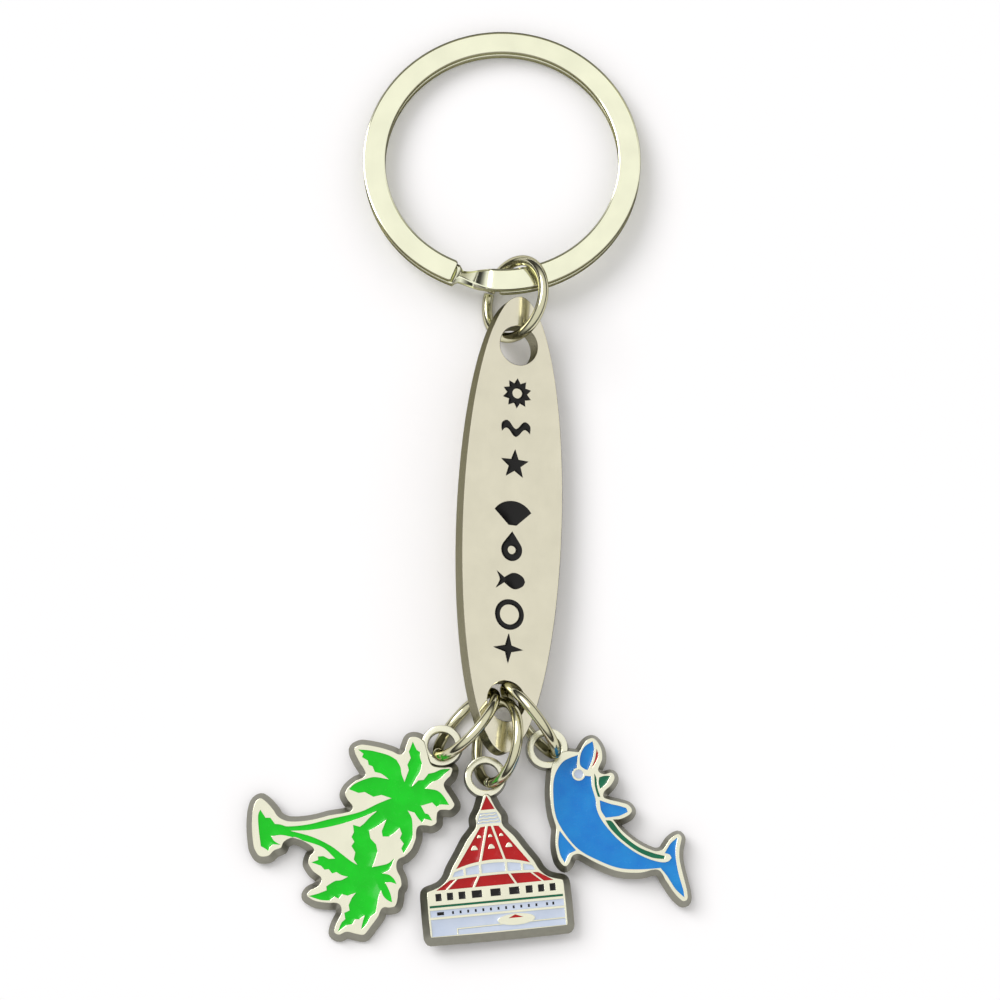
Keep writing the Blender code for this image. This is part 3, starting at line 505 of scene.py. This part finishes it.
def eyelet(shape, settings):
    """The ring that hangs the charm: flat on top, with drafted walls and rounded rims."""
    back = -settings.thickness / 2
    hole = EYELET_HOLE / 2
    outer = EYELET_SIZE / 2
    profile = [
        (hole + 0.12, back + 0.15), (outer - 0.1, back + 0.15), (outer, back + 0.25), (outer, back + 0.6),
        (outer - 0.13, back + 1.44), (outer - 0.16, back + 1.48), (outer - 0.22, back + 1.5),
        (hole + 0.12, back + 1.5), (hole + 0.035, back + 1.465), (hole, back + 1.38), (hole, back + 0.27),
        (hole + 0.035, back + 0.185),
    ]
    rows = [[(r * c, r * s, z) for c, s in circle(1.0)] for r, z in profile]
    faces = loft(shape, rows, False, False, True)
    bmesh.ops.recalc_face_normals(shape, faces=faces)
    # Faces that look sideways get the darker wall finish, which is painted shade.
    for face in faces:
        face.material_index = 0 if face.normal.z > 0.35 else 1


def clear_of_eyelet(outline):
    """The outline pushed back where it would reach into the eyelet's hole."""
    distance = np.linalg.norm(outline, axis=1)
    return outline * np.maximum((EYELET_HOLE / 2 + 0.02) / distance, 1.0)[:, None]


def cast_plate(name, node, cells, place, body, corner=JOINED_CORNER, ridges=(), inset=0.0):
    """The charm's metal: drafted satin walls, a polished face with a cell for each colour, and the eyelet."""
    settings = bpy.context.scene.keychain.enamel
    matrix = charm_matrix(place)
    front = settings.thickness / 2
    floor = front - settings.depth
    face = grown(refined(plan_loops(node, matrix)[0], 100.0), -inset)
    plans = [[refined(outline, corner) for outline in plan_loops(cell, matrix)] for cell in cells]
    pockets = [plan[0] for plan in plans]
    islands = [outline for plan in plans for outline in plan[1:]]
    rim = rounded_rim(floor - 0.1, front, settings.rim)
    shape = bmesh.new()
    for island in islands:
        inner = [pocket for pocket in pockets if surrounds(island, pocket)]
        pockets = [pocket for pocket in pockets if not surrounds(island, pocket)]
        add_shape(shape, plan_shape([island, *inner], rim))
    add_shape(shape, plan_shape([face, *pockets], rim))
    for ridge in ridges:
        add_shape(shape, plan_shape([ridge], rounded_rim(floor - 0.1, front - 0.012, 0.03)))
    back = -front
    draft = settings.draft + inset
    levels = [
        (draft - 0.14, back), (draft - 0.04, back + 0.04), (draft, back + 0.14), (draft, back + 0.45),
        (0.015, front - 0.05), (-0.08, front - 0.07), (-0.08, floor),
    ]
    rows = [lifted(clear_of_eyelet(grown(face, distance)), height) for distance, height in levels]
    walls = loft(shape, rows)
    bmesh.ops.recalc_face_normals(shape, faces=walls)
    # The walls get the darker wall finish, which is painted shade.
    for wall in walls:
        wall.material_index = 1
    eyelet(shape, settings)
    return finish_piece(
        name, shape, matrix, [finish("face"), finish("wall")], body, [node], 20.0
    )


def stroke(spots, width):
    """The outline of a line of the given width through the spots."""
    spots = np.asarray(spots, dtype=float)
    heading = np.gradient(spots, axis=0)
    heading /= np.linalg.norm(heading, axis=1)[:, None]
    side = np.stack([-heading[:, 1], heading[:, 0]], axis=1) * width / 2
    return np.concatenate([spots - side, (spots + side)[::-1]])


def twist_share(part):
    """How much of its full twist the band has, part of the way through the joggle: sudden on, slow off."""
    rising = min(part / 0.08, 1.0)
    falling = min(max((part - 0.08) / 0.92, 0.0), 1.0)
    return rising * (1.0 - 3 * falling**2 + 2 * falling**3)


def band_height(degrees, settings):
    """The band's climb over its lower turn, through the joggle."""
    start, end = settings.joggle
    rise = min(max((degrees - start - 360) / (end - start), 0.0), 1.0)
    return (settings.thickness + settings.gap) * (3 * rise**2 - 2 * rise**3), rise


class KEYCHAIN_OT_split_ring(bpy.types.Operator):
    """Builds the split ring: a chamfered flat band, wound twice with a twist where it steps up"""

    bl_idname = "keychain.split_ring"
    bl_label = "Split ring"

    def execute(self, context):
        settings = context.scene.keychain.band
        half = settings.width / 2
        rise = settings.thickness / 2
        cut = settings.chamfer
        section = []
        for side, level in ((-1, -1), (1, -1), (1, 1), (-1, 1)):
            bends = [(side * half, level * (rise - cut)), (side * (half - 0.3 * cut), level * (rise - 0.3 * cut))]
            bends.append((side * (half - cut), level * rise))
            section += bends if side * level < 0 else bends[::-1]
        first = settings.joggle[1] + 1.0
        last = settings.joggle[0] + 719.2
        steps = round((last - first) / settings.step)
        radius = settings.outer / 2 - half
        rows = []
        for k in range(steps + 1):
            degrees = first + (last - first) * k / steps
            angle = math.radians(degrees)
            climb, part = band_height(degrees, settings)
            roll = math.radians(settings.twist) * twist_share(part)
            squeeze = 0.9 if k in (0, steps) else 1.0
            row = []
            for across, up in section:
                across *= squeeze
                up *= squeeze
                out = radius + across * math.cos(roll) - up * math.sin(roll)
                height = rise + climb + up * math.cos(roll) + across * math.sin(roll)
                row.append((out * math.cos(angle), out * math.sin(angle), height))
            rows.append(row)
        shape = bmesh.new()
        loft(shape, rows)
        bmesh.ops.recalc_face_normals(shape, faces=shape.faces)
        x, y = SPLIT_RING_CENTRE
        slope = SPLIT_RING_NEAR_LIFT / settings.outer
        matrix = frame_matrix((x, y, SPLIT_RING_NEAR_LIFT / 2), (1.0, 0.0, 0.0), (0.0, slope, 1.0))
        # The sideways faces of the band get the darker edge finish, which is painted shade.
        paint_shade_on_sideways_faces(shape, 0.5)
        finishes = [finish("band"), finish("edge")]
        finish_piece("split_ring_band", shape, matrix, finishes, "split_ring", ["split_ring"], 22.0)
        return {"FINISHED"}


class KEYCHAIN_OT_jump_rings(bpy.types.Operator):
    """Builds the four jump rings: round wire, bent until its cut ends almost meet"""

    bl_idname = "keychain.jump_rings"
    bl_label = "Jump rings"

    def execute(self, context):
        lower_hole = (tag_matrix() @ Vector((0.0, -TAG_HOLE_OFFSET, 0.0))) / MM - ORIGIN_SHIFT
        self.build(context, "top_jump_ring", TOP_RING, (-1.0, 0.3, 0.0))
        for name, ring in (("palm", PALM_RING), ("pavilion", PAVILION_RING), ("dolphin", DOLPHIN_RING)):
            self.build(context, name + "_jump_ring", ring, Vector(ring["centre"]) - lower_hole)
        return {"FINISHED"}

    def build(self, context, name, ring, slit_towards):
        settings = context.scene.keychain.wire
        opening = settings.slit / settings.radius
        rows = []
        chamfer = 0.12
        sweep = 2 * math.pi - opening
        spots = [(opening / 2 + sweep * k / settings.steps, 1.0) for k in range(settings.steps + 1)]
        short = chamfer / settings.radius
        spots = [(opening / 2, 0.84), (opening / 2 + short, 1.0)] + spots[2:-2]
        spots += [(2 * math.pi - opening / 2 - short, 1.0), (2 * math.pi - opening / 2, 0.84)]
        for angle, size in spots:
            row = []
            for c, s in circle(settings.wire / 2 * size, steps=settings.sides):
                out = settings.radius + c
                row.append((out * math.cos(angle), out * math.sin(angle), s))
            rows.append(row)
        shape = bmesh.new()
        loft(shape, rows)
        bmesh.ops.recalc_face_normals(shape, faces=shape.faces)
        matrix = frame_matrix(ring["centre"], slit_towards, ring["axis"])
        finish_piece(name + "_wire", shape, matrix, [finish("wire")], name, [name], 50.0)


class KEYCHAIN_OT_tag(bpy.types.Operator):
    """Builds the long tag, its two holes and its row of black ornaments"""

    bl_idname = "keychain.tag"
    bl_label = "Tag"

    def execute(self, context):
        motifs = [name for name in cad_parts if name.startswith("tag_motif")]
        matrix = tag_matrix()
        width, length, thickness = TAG_SIZE
        half = thickness / 2
        angles = np.arange(320) * 2 * np.pi / 320
        outline = np.stack([width / 2 * np.cos(angles), length / 2 * np.sin(angles)], axis=1)
        holes = [circle(TAG_HOLE / 2, (0.0, side * TAG_HOLE_OFFSET)) for side in (-1, 1)]
        pockets = [refined(plan_loops(name, matrix)[0], 40.0) for name in motifs]
        islands = [refined(loop, 40.0) for name in motifs for loop in plan_loops(name, matrix)[1:]]
        shape = bmesh.new()
        edge = 0.1
        floor = half - 0.35
        base = [(-edge, -half), (-0.29 * edge, -half + 0.29 * edge), (0.0, -half + edge), (0.0, floor)]
        add_shape(shape, plan_shape([outline, *holes], base))
        add_shape(shape, plan_shape([outline, *holes, *pockets], rounded_rim(floor, half, 0.07)))
        for island in islands:
            add_shape(shape, plan_shape([island], rounded_rim(floor, half, 0.07)))
        # The sideways faces of the tag get the darker edge finish, which is painted shade.
        paint_shade_on_sideways_faces(shape)
        finishes = [finish("tag"), finish("edge")]
        finish_piece("tag_body", shape, matrix, finishes, "tag", ["tag"], 20.0)
        for name in sorted(motifs):
            fill_cell(name + "_enamel", name, matrix, half, "black", "tag", 40.0)
        return {"FINISHED"}


class KEYCHAIN_OT_palm_charm(bpy.types.Operator):
    """Builds the charm with two palm trees"""

    bl_idname = "keychain.palm_charm"
    bl_label = "Palm charm"

    def execute(self, context):
        rim = context.scene.keychain.enamel.thickness / 2
        cast_plate("palm_casting", "palm_plate", ["palm_green"], PALM_PLACE, "palm_charm", 28.0, inset=0.15)
        matrix = charm_matrix(PALM_PLACE)
        fill_cell("palm_green_enamel", "palm_green", matrix, rim, "green", "palm_charm", 28.0)
        return {"FINISHED"}


class KEYCHAIN_OT_dolphin_charm(bpy.types.Operator):
    """Builds the charm with a leaping dolphin"""

    bl_idname = "keychain.dolphin_charm"
    bl_label = "Dolphin charm"

    def execute(self, context):
        colours = {
            "dolphin_body": "blue", "dolphin_snout": "blue", "dolphin_mouth": "red", "dolphin_eye": "white",
            "dolphin_far_flipper": "teal", "dolphin_near_flipper": "blue", "dolphin_chin_stripe": "teal",
            "dolphin_belly_stripe": "teal", "dolphin_dorsal_fin": "blue",
        }
        rim = context.scene.keychain.enamel.thickness / 2
        matrix = charm_matrix(DOLPHIN_PLACE)
        cast_plate("dolphin_casting", "dolphin_plate", list(colours), DOLPHIN_PLACE, "dolphin_charm")
        for node, colour in colours.items():
            fill_cell(node + "_enamel", node, matrix, rim, colour, "dolphin_charm")
        return {"FINISHED"}


class KEYCHAIN_OT_pavilion_charm(bpy.types.Operator):
    """Builds the charm with a seaside pavilion"""

    bl_idname = "keychain.pavilion_charm"
    bl_label = "Pavilion charm"

    def execute(self, context):
        rim = context.scene.keychain.enamel.thickness / 2
        matrix = charm_matrix(PAVILION_PLACE)
        nodes = [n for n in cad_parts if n.startswith("pavilion_") and n[9:13] not in ("plat", "jump")]
        nodes.sort()
        ridges = self.dormers() + self.lantern_rings() + self.base_lines()
        cast_plate("pavilion_casting", "pavilion_plate", nodes, PAVILION_PLACE, "pavilion_charm", 28.0, ridges, 0.25)
        for node in nodes:
            part = node.split("_")[1]
            colour = {"window": "black", "cornice": "teal", "band": "white", "upper": "white", "lower": "white",
                      "lantern": "white"}
            fill_cell(
                node + "_enamel", node, matrix, rim, colour.get(part, "red"), "pavilion_charm",
                28.0,
            )
        self.small_windows(matrix, rim)
        return {"FINISHED"}

    def dormers(self):
        """Two rows of raised metal dormers on the cone."""
        rows = ((-7.4, 0.36, (-1.86, -0.08, 1.75)), (-6.25, 0.23, (-1.25, -0.1, 1.05)))
        shape = np.array([(-1.0, -0.6), (1.0, -0.6), (0.75, 0.1), (0.0, 0.75), (-0.75, 0.1)])
        return [refined(shape * size + (x, y), 100.0, 0.05) for y, size, xs in rows for x in xs]

    def lantern_rings(self):
        """Three wavy rings of metal round the lantern."""
        across = np.linspace(-1.0, 1.0, 25)
        rings = []
        for y, half in ((-4.05, 0.82), (-4.4, 0.95), (-4.74, 1.1)):
            height = y + 0.035 * np.sin(across * 9.0)
            rings.append(stroke(np.stack([across * half - 0.1, height], axis=1), 0.15))
        return rings

    def base_lines(self):
        """The lines of the terrace at the foot of the lower wall."""
        lines = ([(-4.4, -16.25), (-4.4, -15.58)], [(-4.46, -15.58), (0.4, -15.52)], [(3.3, -15.5), (6.9, -15.46)])
        return [stroke(line, 0.13) for line in lines]

    def small_windows(self, matrix, rim):
        """The row of tiny enamel windows along the upper wall."""
        settings = bpy.context.scene.keychain.enamel
        top = rim - settings.below - settings.sag + 0.025
        shape = bmesh.new()
        spots = [(-6.0, 0.36, 0.17)] + [(x, 0.1, 0.15) for x in np.arange(-4.7, 4.0, 0.79)]
        spots += [(5.1, 0.1, 0.15), (5.75, 0.1, 0.15)]
        for x, wide, high in spots:
            y = -13.86
            window = [(x - wide, y - high), (x + wide, y - high), (x + wide, y + high), (x - wide, y + high)]
            add_shape(shape, plan_shape([refined(window)], rounded_rim(top - 0.1, top, 0.02)))
        finish_piece(
            "pavilion_small_windows", shape, matrix, [finish("black")], "pavilion_charm", []
        )


class KEYCHAIN_OT_stage(bpy.types.Operator):
    """Adds the floor, the soft light and the camera"""

    bl_idname = "keychain.stage"
    bl_label = "Stage"

    def execute(self, context):
        scene = context.scene
        scene.view_settings.view_transform = "Standard"
        shape = bmesh.new()
        bmesh.ops.create_grid(shape, x_segments=8, y_segments=8, size=2.0)
        mesh = bpy.data.meshes.new("floor")
        shape.to_mesh(mesh)
        shape.free()
        mesh.materials.append(paper("white_card", "#FBFAFC"))
        floor = bpy.data.objects.new("floor", mesh)
        scene.collection.objects.link(floor)

        sun = bpy.data.lights.new("key", "SUN")
        sun.energy = 1.25
        sun.angle = math.radians(38)
        sun.color = (1.0, 0.99, 1.0)
        lamp = bpy.data.objects.new("key", sun)
        lamp.rotation_mode = "QUATERNION"
        lamp.rotation_quaternion = Vector((0.72, -0.52, -1.0)).to_track_quat("-Z", "Y")
        scene.collection.objects.link(lamp)

        world = bpy.data.worlds.new("studio")
        world.use_nodes = True
        tree = world.node_tree
        direction = add(tree, "ShaderNodeTexCoord").outputs["Generated"]
        height = add(tree, "ShaderNodeSeparateXYZ", i0=direction).outputs[2]
        ramp = add(tree, "ShaderNodeValToRGB", i0=height)
        stops = ((0.0, 0.03), (0.25, 0.06), (0.42, 0.35), (0.56, 0.9), (0.8, 0.95), (1.0, 0.96))
        points = ramp.color_ramp.elements
        points[0].position = 0.0
        points[1].position = 1.0
        for position, level in stops:
            point = points[0] if position == 0.0 else points[-1] if position == 1.0 else points.new(position)
            point.color = (level, level * 0.995, level * 0.97, 1.0)
        tree.links.new(ramp.outputs[0], tree.nodes["Background"].inputs["Color"])
        scene.world = world

        camera = bpy.data.cameras.new("camera")
        camera.lens = 151.8
        camera.sensor_width = 36.0
        viewer = bpy.data.objects.new("camera", camera)
        viewer.location = (Vector((0.0, -101.2, 438.5)) + ORIGIN_SHIFT) * MM
        viewer.rotation_euler = (math.radians(13.0), 0.0, 0.0)
        scene.collection.objects.link(viewer)
        scene.camera = viewer
        return {"FINISHED"}


class KEYCHAIN_PT_panel(bpy.types.Panel):
    """The steps, in order"""

    bl_idname = "KEYCHAIN_PT_panel"
    bl_label = "Keychain"
    bl_space_type = "VIEW_3D"
    bl_region_type = "UI"
    bl_category = "Keychain"

    def draw(self, context):
        for step in STEPS:
            self.layout.operator(step.bl_idname)
        for group in ("band", "wire", "enamel"):
            box = self.layout.box()
            settings = getattr(context.scene.keychain, group)
            for key in settings.bl_rna.properties.keys():
                if key not in ("rna_type", "name"):
                    box.prop(settings, key)


STEPS = (
    KEYCHAIN_OT_split_ring,
    KEYCHAIN_OT_jump_rings,
    KEYCHAIN_OT_tag,
    KEYCHAIN_OT_palm_charm,
    KEYCHAIN_OT_pavilion_charm,
    KEYCHAIN_OT_dolphin_charm,
    KEYCHAIN_OT_stage,
)
CLASSES = (
    KeychainBandSettings,
    KeychainWireSettings,
    KeychainEnamelSettings,
    KeychainSettings,
    *STEPS,
    KEYCHAIN_PT_panel,
)


def register():
    for item in CLASSES:
        bpy.utils.register_class(item)
    bpy.types.Scene.keychain = PointerProperty(type=KeychainSettings)


def unregister():
    del bpy.types.Scene.keychain
    for item in reversed(CLASSES):
        bpy.utils.unregister_class(item)


def main():
    register()
    bpy.ops.keychain.split_ring()
    bpy.ops.keychain.jump_rings()
    bpy.ops.keychain.tag()
    bpy.ops.keychain.palm_charm()
    bpy.ops.keychain.pavilion_charm()
    bpy.ops.keychain.dolphin_charm()
    bpy.ops.keychain.stage()


if __name__ == "__main__":
    main()
